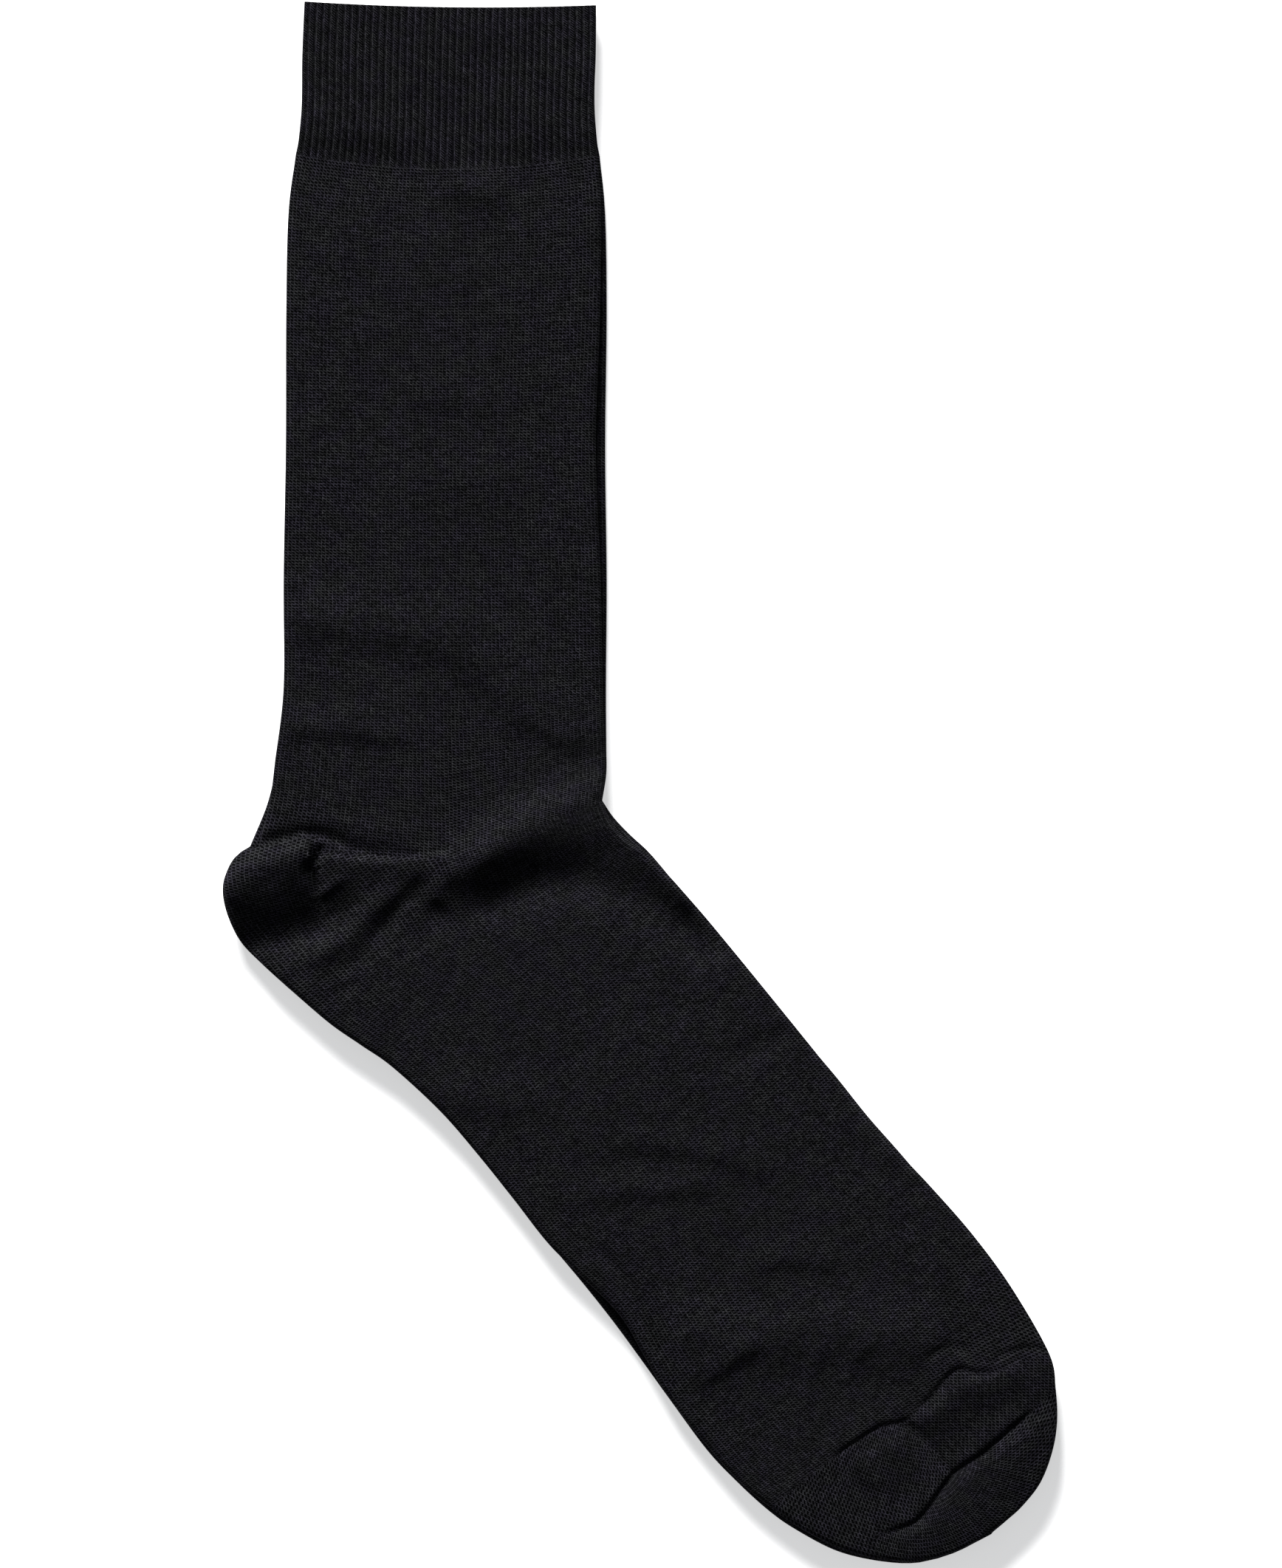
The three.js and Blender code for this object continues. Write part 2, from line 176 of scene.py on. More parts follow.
def smooth(values, places):
    """Catmull-Rom values between the rows of a table column, at fractional places."""
    values = np.array(values, float).reshape(len(values), -1)
    ends = np.vstack([2 * values[0] - values[1], values, 2 * values[-1] - values[-2]])
    start = np.clip(places.astype(int), 0, len(values) - 2)
    t = (places - start)[:, None]
    a, b, c, d = (ends[start + k] for k in range(4))
    return 0.5 * (2 * b + (c - a) * t + (2 * a - 5 * b + 4 * c - d) * t**2 + (3 * (b - c) + d - a) * t**3)


def places_along(rows, fineness):
    """Places in a table with as many steps before each row as that row's number of mesh rows."""
    counts = [max(1, round(number * fineness)) for number in rows[1:]]
    steps = [np.linspace(k, k + 1, count, endpoint=False) for k, count in enumerate(counts)]
    return np.append(np.concatenate(steps), len(rows) - 1)


def sections(courses, layer, fineness):
    """The back edge, middle, front edge and hinge of each mesh row of a zone."""
    if courses is heel_courses:
        names, back, rows, shows_back = zip(*courses)
        middle, front = [GORE_END] * len(rows), [NOTCH] * len(rows)
        hinge, shows_front = [1] * len(rows), [0] * len(rows)
    else:
        names, back, middle, front, hinge, rows, shows_back, shows_front = zip(*courses)
    places = places_along(rows, fineness)
    back, middle, front, hinge = (smooth(column, places) for column in (back, middle, front, hinge))
    if layer == "lower":
        for edge, shows in ((back, shows_back), (front, shows_front)):
            reach = np.linalg.norm(edge - middle, axis=1, keepdims=True)
            edge += (edge - middle) / np.maximum(reach, 1) * smooth(shows, places)
    return back, middle, front, hinge


def ring_steps(top, under, fold, only_back=False):
    """Steps round a flattened tube: share of the way to the front edge, how far it lies in on the rounding of
    the folded edge, and level, from -1 on the bottom panel to 1 on the top one."""
    angles = np.linspace(-math.pi / 2, math.pi / 2, fold + 2)[1:-1]
    lean = 1 - np.cos(angles)
    back = np.stack([0 * lean, lean, np.sin(angles)], 1)
    front = np.stack([0 * lean + 1, -lean, -np.sin(angles)], 1)
    shares = np.linspace(0, 1, top)
    panel = np.stack([shares, 1 - 2 * shares, 0 * shares + 1], 1)
    shares = np.linspace(1, 0, under)
    bottom = np.stack([shares, 1 - 2 * shares, 0 * shares - 1], 1)
    if only_back:
        return np.vstack([bottom[under // 2 :], back, panel[: top // 2 + 1]])
    return np.vstack([back, panel, front, bottom, back[:1]])


def plan(back, middle, front, hinge, share):
    """Plan points of every row and step, mixed from a smooth arc and two straight runs."""
    back, middle, front = (edge[:, None, :] for edge in (back, middle, front))
    s = share[:, :, None]
    arc = (1 - s) * (1 - 2 * s) * back + 4 * s * (1 - s) * middle + s * (2 * s - 1) * front
    turned = np.where(s < 0.5, back + (middle - back) * 2 * s, middle + (front - middle) * (2 * s - 1))
    return arc + (turned - arc) * hinge[:, :, None]


def fold_heights(folds, x, y):
    """The summed height of soft folds over plan points. A fold is high over its path and falls off to its
    cuff side and its toe side by its two widths. start and end are the shares of its run where it fades."""
    total = np.zeros_like(x)
    for name, high, cuff_side, toe_side, start, end, path in folds:
        corners = np.array(path, float)
        run = np.linalg.norm(np.diff(corners, axis=0), axis=1)
        before = np.concatenate([[0], np.cumsum(run)])
        nearest = np.full_like(x, np.inf)
        along = np.zeros_like(x)
        side = np.zeros_like(x)
        for k, (a, b) in enumerate(zip(corners[:-1], corners[1:])):
            way = (b - a) / run[k]
            t = np.clip((x - a[0]) * way[0] + (y - a[1]) * way[1], 0, run[k])
            dx, dy = x - a[0] - way[0] * t, y - a[1] - way[1] * t
            off = np.hypot(dx, dy)
            closer = off < nearest
            nearest = np.where(closer, off, nearest)
            along = np.where(closer, (before[k] + t) / before[-1], along)
            up = way[0] * dy - way[1] * dx
            side = np.where(closer, np.where(way[0] < 0, -up, up), side)
        fade = np.clip(along / start, 0, 1) * np.clip((1 - along) / end, 0, 1)
        width = np.where(side > 0, cuff_side, toe_side)
        total += high * np.sin(fade * math.pi / 2) * np.exp(-((nearest / width) ** 2))
    return total


def knit_zone(mesh, courses, layer, folds, steps, first_course, fineness=1.0, seams=None):
    """One zone of a sock as a grid that is bent round its sections. Its UVs count stitches across and along.
    seams may lay the stitches of some faces another way. Returns the last course's number."""
    back, middle, front, hinge = sections(courses, layer, fineness)
    width = np.linalg.norm(front - back, axis=1)[:, None]
    rounding = np.minimum(EDGE_ROUND / np.maximum(width, 0.01), 0.3)
    share = steps[:, 0] + steps[:, 1] * rounding
    level = np.broadcast_to(steps[:, 2], share.shape)
    spot = plan(back, middle, front, hinge, share)
    x, y = spot[:, :, 0], spot[:, :, 1]
    crown = CROWN * np.sqrt(np.sin(math.pi * np.clip(share, 0, 1)))
    fullness = np.minimum(1, width / NARROW)
    half = (SOCK_HEIGHT + crown + fold_heights(folds, x, y)) / 2 * fullness
    floor = 0 if layer == "lower" else SOCK_HEIGHT + CROWN + SOCK_GAP
    z = floor + half * (1 + level) + (SOCK_HEIGHT / 2) * (1 - fullness)

    is_heel = courses is heel_courses
    before_back_edge = is_heel | (np.arange(len(steps)) < len(steps) // 2)
    stitch_below = np.where(before_back_edge, -WALES * share, 2 * WALES - WALES * share)
    stitch = np.where(level < 0, stitch_below, WALES * share)
    run = np.linalg.norm(np.diff(back if is_heel else middle, axis=0), axis=1)
    course = np.concatenate([[0], np.cumsum(run)]) / COURSE_PITCH
    course *= round(course[-1]) / course[-1]
    course = np.broadcast_to((course + first_course)[:, None], share.shape)

    rows, columns = share.shape
    made = bmesh.ops.create_grid(mesh, x_segments=columns - 1, y_segments=rows - 1, size=1)["verts"]
    knit = mesh.loops.layers.uv.get("stitches") or mesh.loops.layers.uv.new("stitches")
    at = {}
    for vert in made:
        i = round((vert.co.x + 1) / 2 * (columns - 1))
        j = round((1 - vert.co.y) / 2 * (rows - 1))
        at[vert] = (j, i)
    faces = {face for vert in made for face in vert.link_faces}
    for face in faces:
        corners = [at[loop.vert] for loop in face.loops]
        for loop, (j, i) in zip(face.loops, corners):
            loop[knit].uv = (stitch[j, i], course[j, i])
        if seams:
            spots = [(x[corner], y[corner]) for corner in corners]
            laid = seams(spots, min(level[corner] for corner in corners))
            if laid:
                for loop, uv in zip(face.loops, laid):
                    loop[knit].uv = uv
    for vert, (j, i) in at.items():
        vert.co = ((x[j, i] + PICTURE_MIDDLE[0]) * MM, (y[j, i] + PICTURE_MIDDLE[1]) * MM, z[j, i] * MM)
    return course[-1, 0]


def close_edges(mesh):
    """Joins a knitted tube's meeting edges and turns its faces outward."""
    bmesh.ops.remove_doubles(mesh, verts=mesh.verts, dist=0.01 * MM)
    bmesh.ops.recalc_face_normals(mesh, faces=mesh.faces)


def sewn_object(name, mesh, material):
    """Makes a piece of a knitted tube and gives its cloth a thickness."""
    close_edges(mesh)
    for face in mesh.faces:
        face.smooth = True
    for edge in mesh.edges:
        edge.smooth = not edge.is_boundary  # a cut rim is crisp, so two zones meet with no shaded line
    data = bpy.data.meshes.new(name)
    mesh.to_mesh(data)
    mesh.free()
    data.materials.append(material)
    piece = bpy.data.objects.new(name, data)
    bpy.context.collection.objects.link(piece)
    thickness = piece.modifiers.new("cloth thickness", "SOLIDIFY")
    thickness.thickness = WALL * MM
    thickness.offset = -1
    return piece


RIB_COURSES_CLOSER = 1.18  # a rib's courses lie closer than the plain knit's
YARN_TOP = 1.5  # the height of a strand's top, hairs included
YARN_RELIEF = 0.2


def knit_material(name, ribbed=False):
    """Charcoal wool mix knit. The UVs count stitches: each whole number across is a column of stitches, each
    whole number along is a course."""
    material = bpy.data.materials.new(name)
    material.use_nodes = True
    tree = material.node_tree
    surface = tree.nodes["Principled BSDF"]

    def node(kind, **settings):
        made = tree.nodes.new(kind)
        for key, value in settings.items():
            setattr(made, key, value)
        return made

    def math_node(operation, *values):
        made = node("ShaderNodeMath", operation=operation)
        for socket, value in zip(made.inputs, values):
            if isinstance(value, (int, float)):
                socket.default_value = value
            else:
                tree.links.new(value, socket)
        return made.outputs[0]

    def noise(coordinates, scale, detail):
        made = node("ShaderNodeTexNoise")
        made.inputs["Scale"].default_value = scale
        made.inputs["Detail"].default_value = detail
        tree.links.new(coordinates, made.inputs["Vector"])
        return made.outputs["Fac"]

    def ranged(value, low, high, low_out, high_out):
        made = node("ShaderNodeMapRange")
        for socket, setting in zip(list(made.inputs)[1:5], (low, high, low_out, high_out)):
            socket.default_value = setting
        tree.links.new(value, made.inputs["Value"])
        return made.outputs["Result"]

    def ramp(factor, *stops):
        made = node("ShaderNodeValToRGB")
        tree.links.new(factor, made.inputs["Fac"])
        points = made.color_ramp.elements
        while len(points) < len(stops):
            points.new(0.5)
        for point, (place, colour) in zip(points, stops):
            point.position = place
            point.color = (*colour, 1)
        return made.outputs["Color"]

    def multiplied(first, second):
        made = node("ShaderNodeMix", data_type="RGBA", blend_type="MULTIPLY")
        made.inputs[0].default_value = 1
        tree.links.new(first, made.inputs[6])
        tree.links.new(second, made.inputs[7])
        return made.outputs[2]

    count = node("ShaderNodeUVMap", uv_map="stitches")
    place = node("ShaderNodeTexCoord").outputs["Object"]
    split = node("ShaderNodeSeparateXYZ")
    tree.links.new(count.outputs["UV"], split.inputs["Vector"])
    across = math_node("ADD", split.outputs["X"], ranged(noise(place, 250, 2), 0, 1, -0.2, 0.2))
    along = math_node("ADD", split.outputs["Y"], ranged(noise(place, 160, 2), 0, 1, -0.3, 0.3))
    if ribbed:
        across = math_node("MULTIPLY", across, 0.5)
        along = math_node("MULTIPLY", along, RIB_COURSES_CLOSER)

    # within a stitch: one leg stands upright as a raised line near the column's left edge, and the other
    # slants down to the right, with a sunk gap between each course and the next. The colour ramp below
    # paints a highlight on the upright leg and painted shade in the gaps, from these same heights
    leg_place, leg_width, lean = (0.1, 0.12, -2.3) if ribbed else (0.14, 0.23, -0.55)
    column = math_node("FRACT", across)
    from_leg = math_node("ABSOLUTE", math_node("SUBTRACT", column, leg_place))
    upright = ranged(from_leg, 0.03, leg_width, 1.05, 0)
    slanted = math_node("MULTIPLY_ADD", column, lean, along)
    strand = math_node("ABSOLUTE", math_node("MULTIPLY_ADD", math_node("FRACT", slanted), 2, -1))
    strand = ranged(strand, 0.12, 0.72, 0, 0.87)
    if ribbed:
        # the purl columns sink into grooves, which the colour ramp below also paints dark as painted shade
        strand = math_node("MULTIPLY", strand, ranged(column, 0.65, 0.85, 1, 0.2))
        strand = math_node("MAXIMUM", strand, ranged(column, 0.65, 0.85, 0, 0.58))
    yarn_height = math_node("MAXIMUM", strand, upright)

    hair = noise(place, 1700, 3)
    height = math_node("MULTIPLY_ADD", hair, 0.5, yarn_height)
    bump = node("ShaderNodeBump")
    bump.inputs["Strength"].default_value = 0.7
    bump.inputs["Distance"].default_value = YARN_RELIEF * MM
    tree.links.new(height, bump.inputs["Height"])
    tree.links.new(bump.outputs["Normal"], surface.inputs["Normal"])

    # each stitch takes a little more or less light, and the yarn's mix runs on along each course by itself
    stitch = node("ShaderNodeCombineXYZ")
    tree.links.new(math_node("FLOOR", across), stitch.inputs["X"])
    tree.links.new(math_node("FLOOR", slanted), stitch.inputs["Y"])
    single = node("ShaderNodeTexWhiteNoise", noise_dimensions="2D")
    tree.links.new(stitch.outputs["Vector"], single.inputs["Vector"])
    mix_run = node("ShaderNodeCombineXYZ")
    tree.links.new(math_node("MULTIPLY", across, 0.16), mix_run.inputs["X"])
    tree.links.new(math_node("MULTIPLY", math_node("FLOOR", slanted), 3.7), mix_run.inputs["Y"])
    one_stitch = ranged(single.outputs["Value"], 0, 1, 0.7, 1.3)
    one_run = ranged(noise(mix_run.outputs["Vector"], 1, 1), 0.3, 0.7, 0.78, 1.22)
    one_fibre = ranged(noise(place, 2600, 2), 0.3, 0.7, 0.15, 1.85)
    light = math_node("MULTIPLY", math_node("MULTIPLY", one_stitch, one_run), one_fibre)

    # painted shade and highlight: the colour follows the yarn's height, near black in the sunk gaps and rib
    # grooves, lighter on the strands' tops and lightest on the upright legs and hairs
    yarn_tone_with_painted_shade = ramp(
        math_node("DIVIDE", height, YARN_TOP),
        (0.18, (0.0002, 0.0002, 0.0003)),
        (0.45, (0.003, 0.003, 0.0033)),
        (0.85, (0.0195, 0.0195, 0.0212)),
    )
    tint = ramp(noise(place, 230, 2), (0.38, (1, 1.02, 1)), (0.5, (1, 0.98, 1.06)), (0.62, (1, 0.94, 1.16)))
    tree.links.new(multiplied(multiplied(yarn_tone_with_painted_shade, light), tint), surface.inputs["Base Color"])
    surface.inputs["Roughness"].default_value = 0.95
    surface.inputs["Specular IOR Level"].default_value = 0.01
    surface.inputs["Sheen Weight"].default_value = 0.004
    surface.inputs["Sheen Roughness"].default_value = 0.4
    return material


plain_knit = knit_material("plain_knit_wool")
lower_folds = [
    # name, high, cuff side, toe side, start, end, path
    ("ankle swell", 0.3, 8, 8, 0.2, 0.2, [(-8, -10), (-30, -12), (-54, -28)]),
]
lower_mesh = bmesh.new()
rough_ring = ring_steps(31, 25, 7)
rough_half_ring = ring_steps(31, 25, 7, only_back=True)
last = knit_zone(lower_mesh, leg_courses, "lower", lower_folds, rough_ring, 0, 0.5)
knit_zone(lower_mesh, heel_courses, "lower", lower_folds, rough_half_ring, last, 0.5)
knit_zone(lower_mesh, foot_courses, "lower", lower_folds, rough_ring, last, 0.5)
lower_sock = sewn_object("lower_sock", lower_mesh, plain_knit)
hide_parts("lower_leg", "lower_heel", "lower_foot", "lower_toe")
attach(lower_sock, "root")


# Ribbed cuff of the lower sock.
# A welt of 1x1 rib, 84 ribs round, knitted on to the leg from the same yarn. It pulls the mouth of the sock
# in a little. Its ribs stand up on the top panel, and the bottom panel rests flat on the table.

RIBS = 42  # on one panel
RIB_HEIGHT = 0.35
RIB_POINTS = 8
RIB_RUN_OUT = 4  # courses over which the ribs run out into the leg
cuff_courses = [
    ("cuff edge", (-91.5, 211.8), (-51.6, 210.2), (-11.8, 210.8), 0, 0, -0.5, -0.5),
    ("cuff middle", (-92.1, 197.3), (-52.0, 195.6), (-11.9, 197.0), 0, 10, -0.5, -0.2),
    ("cuff waist", (-92.3, 183.0), (-52.3, 180.0), (-12.4, 183.0), 0, 10, -0.5, 0.2),
    ("cuff seam", (-93.5, 170.6), (-52.7, 166.5), (-11.9, 170.2), 0, 10, -0.5, 0.7),
]


def cuff(name, layer, folds, material):
    """A ribbed tube open at both ends, with its ribs raised in its outer points."""
    mesh = bmesh.new()
    points = RIBS * RIB_POINTS + 1
    last_course = knit_zone(mesh, cuff_courses, layer, folds, ring_steps(points, points, 7), 0)
    knit = mesh.loops.layers.uv["stitches"]
    close_edges(mesh)
    mesh.normal_update()
    moved = {}
    for vert in mesh.verts:
        stitch, course = vert.link_loops[0][knit].uv
        rests_flat = layer == "lower" and vert.normal.z < -0.5
        sunk = (1 + math.cos(2 * math.pi * stitch / WALES * RIBS)) / 2
        to_seam = min(1, (last_course - course) / RIB_RUN_OUT)
        depth = 0 if rests_flat else RIB_HEIGHT * sunk**1.5 * to_seam
        moved[vert] = vert.co - vert.normal * depth * MM
    for vert, place in moved.items():
        vert.co = place
    return sewn_object(name, mesh, material)


rib_knit = knit_material("rib_knit_wool", ribbed=True)
lower_cuff = cuff("lower_ribbed_cuff", "lower", lower_folds, rib_knit)
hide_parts("lower_cuff")
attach(lower_cuff, "root")


# Knitted tube of the upper sock: leg, heel pocket, foot and toe pocket.
# The same tube as below, lying exactly on it. Its heel pocket has folded over itself into a rolled tab, the
# cloth bunches in a soft ridge over the ankle, and the toe pocket tucks in under the foot.

upper_folds = [
    # name, high, cuff side, toe side, start, end, path
    ("dip at the cuff seam, back", -1.0, 4.5, 13, 0.05, 0.35,
     [(-96, 170.4), (-82, 168.6), (-68, 167.2), (-54, 166.6)]),
    ("dip at the cuff seam, front", -0.8, 4.5, 13, 0.3, 0.05, [(-40, 166.8), (-26, 168.4), (-9, 170.2)]),
    ("knot of cloth under the cuff", 1.1, 5, 3.5, 0.3, 0.4, [(-54, 162), (-44, 160), (-34, 157)]),
    ("calf ripple", 0.8, 5, 2, 0.3, 0.3, [(-66, 105), (-54, 104.5), (-40, 101)]),
    ("calf ripple, lower", 0.6, 9, 5, 0.3, 0.3, [(-70, 82), (-50, 80), (-30, 84)]),
    ("shin fold", 1.4, 8, 4, 0.1, 0.1,
     [(-97, 45), (-76, 42), (-55, 38.5), (-44, 31), (-33, 20), (-22, 13.5), (-10, 10.5)]),
    ("shin fold, upper branch", 0.9, 7, 5, 0.3, 0.3, [(-60, 47), (-44, 42), (-30, 30), (-14, 19)]),
    ("calf fold above the ankle", 1.0, 6, 2.2, 0.1, 0.3, [(-97, 15), (-78, 14), (-58, 12.5)]),
    ("ankle ridge, leg side", 2.9, 5.5, 5.5, 0.06, 0.25,
     [(-2, 0), (-11, -2.5), (-21, -6), (-32, -11), (-40.7, -16.5), (-48, -21.5), (-53, -25)]),
    ("ankle ridge, foot side", 2.3, 6, 6.5, 0.06, 0.3,
     [(16, -33), (10, -25.5), (4, -18.5), (-2, -13.5), (-8, -11), (-18, -12.5), (-29, -15.5), (-38, -19),
      (-45, -22.5), (-52, -26.5), (-60, -30)]),
    ("ankle valley", -1.9, 5.5, 5.5, 0.05, 0.4,
     [(22, -47), (12, -39.5), (4, -33.5), (-6, -28.5), (-16, -26.5), (-26, -27), (-35, -29.5), (-43, -33),
      (-50, -37), (-57, -42)]),
    ("hollow above the tab", -1.5, 2.4, 0.7, 0.08, 0.65,
     [(-108, -18.4), (-103.9, -16.6), (-97, -15.1), (-92, -14), (-88.5, -13.8), (-84, -15), (-79, -17.2),
      (-73, -19), (-66, -19.6), (-58, -18.8)]),
    ("line above the gore", 0.3, 1.2, 2.0, 0.3, 0.3, [(-88, -9), (-74, -11.5), (-62, -14)]),
    ("gore ridge", 1.6, 1.3, 6, 0.05, 0.1,
     [(-86, -20), (-78, -21), (-71, -21.6), (-64, -21.6), (-57, -20.8), (-50, -19)]),
    ("heel tab, upper roll", 4.6, 3.0, 6, 0.12, 0.03,
     [(-116, -30), (-110, -25.5), (-104, -22), (-98, -20), (-93, -18.6), (-88.8, -17.6)]),
    ("heel tab, lower roll", 2.6, 6, 7, 0.12, 0.15,
     [(-118, -34), (-112, -33), (-106, -31), (-100, -29), (-94, -26.5), (-89, -24.5)]),
    ("mouth of the tab", -1.7, 0.7, 0.7, 0.2, 0.3,
     [(-87, -16), (-87.1, -19.1), (-90.1, -22.1), (-90.9, -25.1)]),
    ("valley under the tab", -2.2, 6, 5, 0.15, 0.2,
     [(-113, -43), (-104, -43), (-95, -41), (-87, -38), (-80, -35), (-75, -31)]),
    ("small ridge under the gore", 0.7, 1.0, 1.4, 0.3, 0.3, [(-80, -24.5), (-84, -28), (-88, -31)]),
    ("pocket ridge", 1.3, 3.4, 2.8, 0.2, 0.3,
     [(-65, -27), (-69, -31), (-75, -36), (-80.5, -41.5), (-86.5, -46), (-94, -49)]),
    ("pocket valley", -1.0, 2.2, 3.2, 0.15, 0.3,
     [(-57.5, -24.5), (-63.5, -31.5), (-68.5, -37), (-72.5, -42.5), (-77.5, -48), (-83, -51.5)]),
    ("gore end knot", 0.6, 3, 3, 0.3, 0.3, [(-49, -22), (-54.5, -27.5), (-58, -33)]),
    ("second pocket valley", -1.1, 4, 4, 0.2, 0.4, [(-54, -32), (-58, -38), (-64, -45)]),
    ("sole hook", -0.5, 1.2, 1.2, 0.3, 0.3, [(-84.5, -57), (-79, -55.5), (-75, -52.5)]),
    ("instep ripple", 0.9, 9, 3.5, 0.2, 0.3, [(-57, -84), (-40, -86.5), (-22, -87)]),
    ("foot groove at the front", -0.9, 3.5, 3.5, 0.3, 0.2, [(20, -76), (30, -72), (41, -66)]),
    ("foot ripple 1", 0.9, 5, 2.4, 0.3, 0.2, [(-15, -100), (4, -97.6), (24, -101), (37, -107)]),
    ("foot ripple 2", 0.9, 5, 2, 0.3, 0.2, [(-22, -114), (-5, -110.5), (10, -110), (23, -110)]),
    ("foot swell", 0.7, 16, 16, 0.3, 0.3, [(6, -60), (-4, -84), (-2, -100)]),
    ("foot ripple 3", 0.8, 5, 2, 0.3, 0.3, [(28, -130.5), (42, -129), (56, -129.5)]),
    ("ball swell", 1.6, 8, 8.5, 0.2, 0.15,
     [(4, -147), (20, -150), (38, -149), (54, -148.5), (70, -150), (84, -149)]),
    ("sole crease", -0.9, 1.6, 1.3, 0.2, 0.2, [(-12.5, -124), (-4, -134.5), (0.5, -144.5), (5.5, -156)]),
    ("ball wrinkle 1", 0.9, 4, 2, 0.3, 0.2, [(13, -163), (22, -158), (33, -150)]),
    ("ball wrinkle 2", 0.5, 2, 1.8, 0.3, 0.3, [(45, -169), (46.5, -158), (50, -150)]),
    ("ball wrinkle 3", 0.5, 2, 1.8, 0.3, 0.3, [(55, -163), (59, -154), (66, -147)]),
    ("arch over the toe seam", -0.6, 1.2, 1.2, 0.3, 0.3,
     [(76.5, -156.5), (79.5, -154), (83, -151.8), (90.5, -154.2)]),
    ("toe seam at the front", -0.6, 0.8, 0.8, 0.2, 0.1,
     [(94, -158), (98, -154.5), (104, -152.6), (111, -153.3)]),
    ("lip over the toe seam", 0.45, 3, 0.9, 0.3, 0.15,
     [(103, -154.5), (97, -157.2), (92.6, -157.9), (88.6, -157.3), (86.3, -156.3), (83, -158.2),
      (80.5, -160.8), (78, -164), (75.6, -166.8)]),
    ("toe seam crease, front", -0.5, 0.4, 0.8, 0.35, 0.12,
     [(104, -153.5), (97, -158.6), (93, -159.4), (88.7, -158.9), (86.3, -157.9), (84.1, -159), (82, -161.3),
      (79.3, -164.6), (75.4, -168.6), (73.5, -170.5)]),
    ("lip over the toe seam, sole side", 0.4, 3, 0.9, 0.1, 0.2,
     [(73, -170), (70, -171), (65, -172), (61, -174.4), (56, -177.4), (51, -181)]),
    ("toe seam crease, sole side", -0.45, 0.4, 0.7, 0.12, 0.3,
     [(73.5, -171.3), (70.3, -172.6), (66.9, -173.4), (63.9, -174.1), (60.5, -176.2), (56.3, -179),
      (50.5, -183.5)]),
    ("toe pillow, front", 1.5, 2.6, 6, 0.1, 0.2,
     [(104, -158), (92, -162.5), (85.5, -163.5), (79, -170.5), (75, -175)]),
    ("toe pillow, sole side", 1.1, 4, 9, 0.15, 0.2, [(74, -178), (66, -181), (58, -187)]),
    ("toe gore line", -0.7, 1.2, 0.7, 0.1, 0.1,
     [(71.5, -173), (75, -175.6), (79.4, -180.4), (83.5, -186.6)]),
    ("lip over the toe crease", 0.5, 4, 0.9, 0.15, 0.15,
     [(106, -168), (99.4, -173), (92.4, -179), (88, -182), (83.4, -185.5), (78.4, -192.6), (73.6, -198.6),
      (64, -201.8)]),
    ("toe crease", -0.6, 0.6, 0.7, 0.15, 0.2,
     [(107, -168.7), (103, -172.3), (99.9, -174.9), (96, -178.4), (92.7, -181.3), (88, -184.2),
      (84.7, -186.2), (81.8, -190), (79.1, -194.1), (76.8, -197.4), (74.3, -199.7), (69.5, -202),
      (64, -203)]),
    ("roll at the tip", 1.2, 2.2, 12, 0.1, 0.15,
     [(111, -170), (104.5, -176), (97, -182.6), (88.5, -188), (83, -195), (78.5, -201), (68, -206)]),
    ("fall to the tip's edge", -0.5, 6, 6, 0.15, 0.15,
     [(113, -162), (112.5, -175), (107, -190), (98, -200), (88, -208), (74, -210.5)]),
]
FOOT_WAY = np.array([0.627, -0.779])  # along the foot, towards the toes
GORE_WAY = np.array([-0.779, -0.627])  # along the end of the heel pocket, towards the sole
GORE_REACH = 55.2  # from the gore's end to the sole

# The heel tab, in mm.
tab_edge = [(-114, -23), (-110, -20), (-103.9, -17.1), (-96, -15.4), (-89.4, -14.3), (-87.8, -14.2)]
TAB_TOP = -17
TAB_FRONT = -87.8
TAB_FOOT = -38
TAB_WALES = 1.2  # from one column to the next
TAB_LEAN = 0.2  # of the columns at the rolled edge
TAB_BEND = 54  # the higher, the straighter the columns
TAB_SLOPE = 0.3  # of the courses


def tab_stitches(spots):
    """In the tab the columns stand upright at its rolled edge, and lower down they bend towards the foot."""
    laid = []
    for x, y in spots:
        down = TAB_TOP - y
        column = (x + TAB_LEAN * down - down**2 / TAB_BEND) / TAB_WALES
        laid.append((column, (down + TAB_SLOPE * x) / COURSE_PITCH))
    return laid


def leg_stitches(spots, level):
    """The tab's rolled edge covers a strip of the leg."""
    x, y = np.mean(spots, axis=0)
    if level < 0 or x > TAB_FRONT or y > np.interp(x, *zip(*tab_edge)):
        return None
    return tab_stitches(spots)


def heel_stitches(spots, level):
    """Outside the tab the pocket's stitches run along the foot at once, up to the gore line."""
    x, y = np.mean(spots, axis=0)
    if level < 0:
        return None
    if x < TAB_FRONT and y > TAB_FOOT:
        return tab_stitches(spots)
    offsets = [np.subtract(spot, GORE_END) for spot in spots]
    return [
        (WALES / 2 * (1 - offset @ GORE_WAY / GORE_REACH), offset @ FOOT_WAY / COURSE_PITCH)
        for offset in offsets
    ]


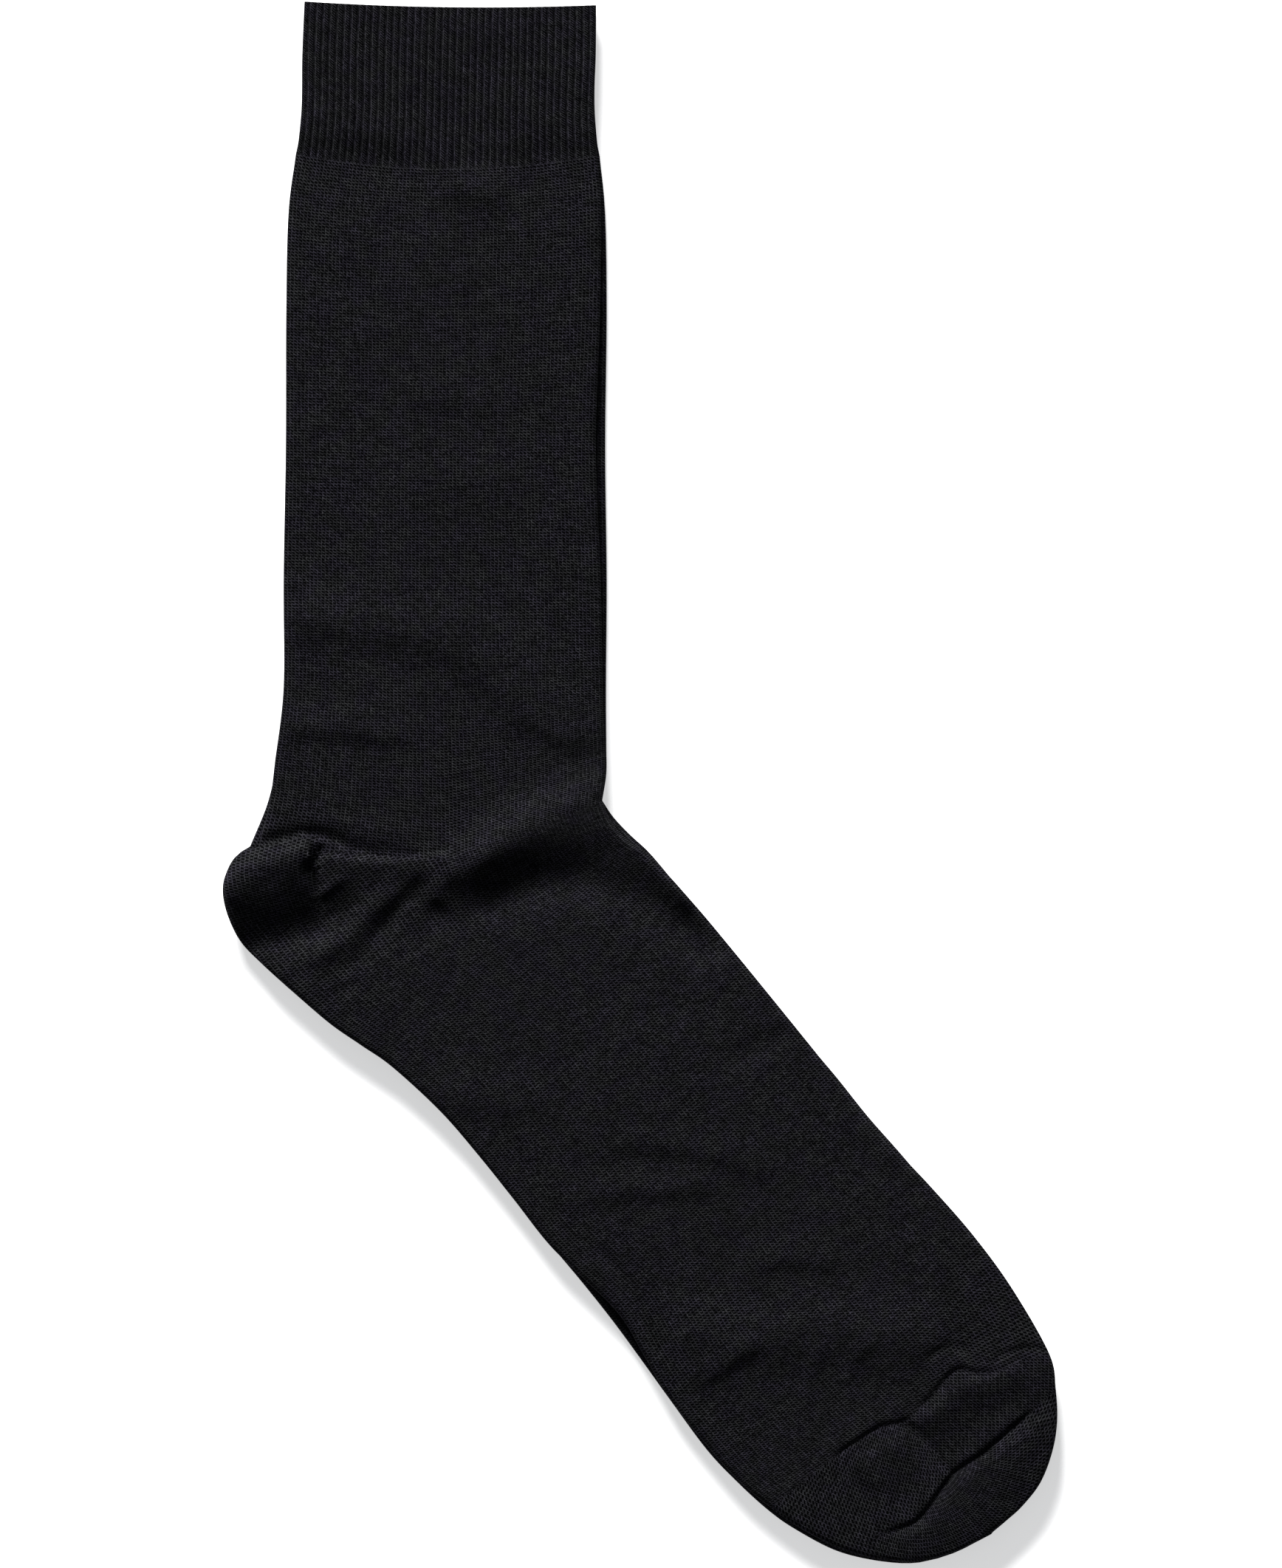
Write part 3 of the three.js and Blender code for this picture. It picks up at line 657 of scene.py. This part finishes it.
# The toe seam, the crease past which the toe pocket tucks in, and the gore line between its two halves.
WALE_PITCH = 1.03
toe_seam = [
    (35, -196), (50.5, -183.5), (56.3, -179), (60.5, -176.2), (63.9, -174.1), (66.9, -173.4), (70.3, -172.6),
    (73.5, -171), (75.4, -168.6), (79.3, -164.6), (82, -161.3), (84.1, -159), (86.3, -157.9), (88.7, -158.9),
    (93, -159.4), (97, -158.6), (111, -153.3),
]
toe_crease = [
    (64, -203), (69.5, -202), (74.3, -199.7), (76.8, -197.4), (79.1, -194.1), (81.8, -190), (84.7, -186.2),
    (88, -184.2), (92.7, -181.3), (96, -178.4), (99.9, -174.9), (103, -172.3), (107, -168.7), (113, -163),
]
toe_gore = [(83.5, -186.6), (79.4, -180.4), (70.3, -173.4)]
SOLE_SIDE_RINGS = ((87, -122), 62)  # mm, middle and usual radius of the rings of the toe pocket's sole half
TIP_RINGS = ((74.5, -180.6), 27)  # mm, the same for the tip


def ring_stitches(spots, middle, radius):
    """Stitches in columns that run in rings round a middle."""
    offsets = [np.subtract(spot, middle) for spot in spots]
    return [
        (math.hypot(*offset) / WALE_PITCH, math.atan2(offset[1], offset[0]) * radius / COURSE_PITCH)
        for offset in offsets
    ]


def toe_stitches(spots, level):
    """Past the toe seam the stitches turn away from the foot's, and again past the crease at the tip."""
    x, y = np.mean(spots, axis=0)
    if level < 0 or x < toe_seam[0][0] or y > np.interp(x, *zip(*toe_seam)):
        return None
    if x > toe_crease[0][0] and y < np.interp(x, *zip(*toe_crease)):
        return ring_stitches(spots, *TIP_RINGS)
    gore_x, gore_y = zip(*toe_gore)
    if x > np.interp(y, gore_y, gore_x):
        return [(spot[0] / WALE_PITCH, -spot[1] / COURSE_PITCH) for spot in spots]
    return ring_stitches(spots, *SOLE_SIDE_RINGS)


upper_mesh = bmesh.new()
fine_ring = ring_steps(101, 21, 7)
fine_half_ring = ring_steps(101, 21, 7, only_back=True)
last = knit_zone(upper_mesh, leg_courses, "upper", upper_folds, fine_ring, 0, seams=leg_stitches)
knit_zone(upper_mesh, heel_courses, "upper", upper_folds, fine_half_ring, last, seams=heel_stitches)
knit_zone(upper_mesh, foot_courses, "upper", upper_folds, fine_ring, last, seams=toe_stitches)
upper_sock = sewn_object("upper_sock", upper_mesh, plain_knit)
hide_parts("upper_leg", "upper_heel", "upper_foot", "upper_toe")
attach(upper_sock, "root")


# Ribbed cuff of the upper sock.
# The same welt of 1x1 rib as below, knitted on to the upper leg from its yarn. It has ribs on both of its
# panels, since it rests on soft cloth, and the dip at its seam comes from the upper sock's folds.

upper_cuff = cuff("upper_ribbed_cuff", "upper", upper_folds, rib_knit)
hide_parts("upper_cuff")
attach(upper_cuff, "root")
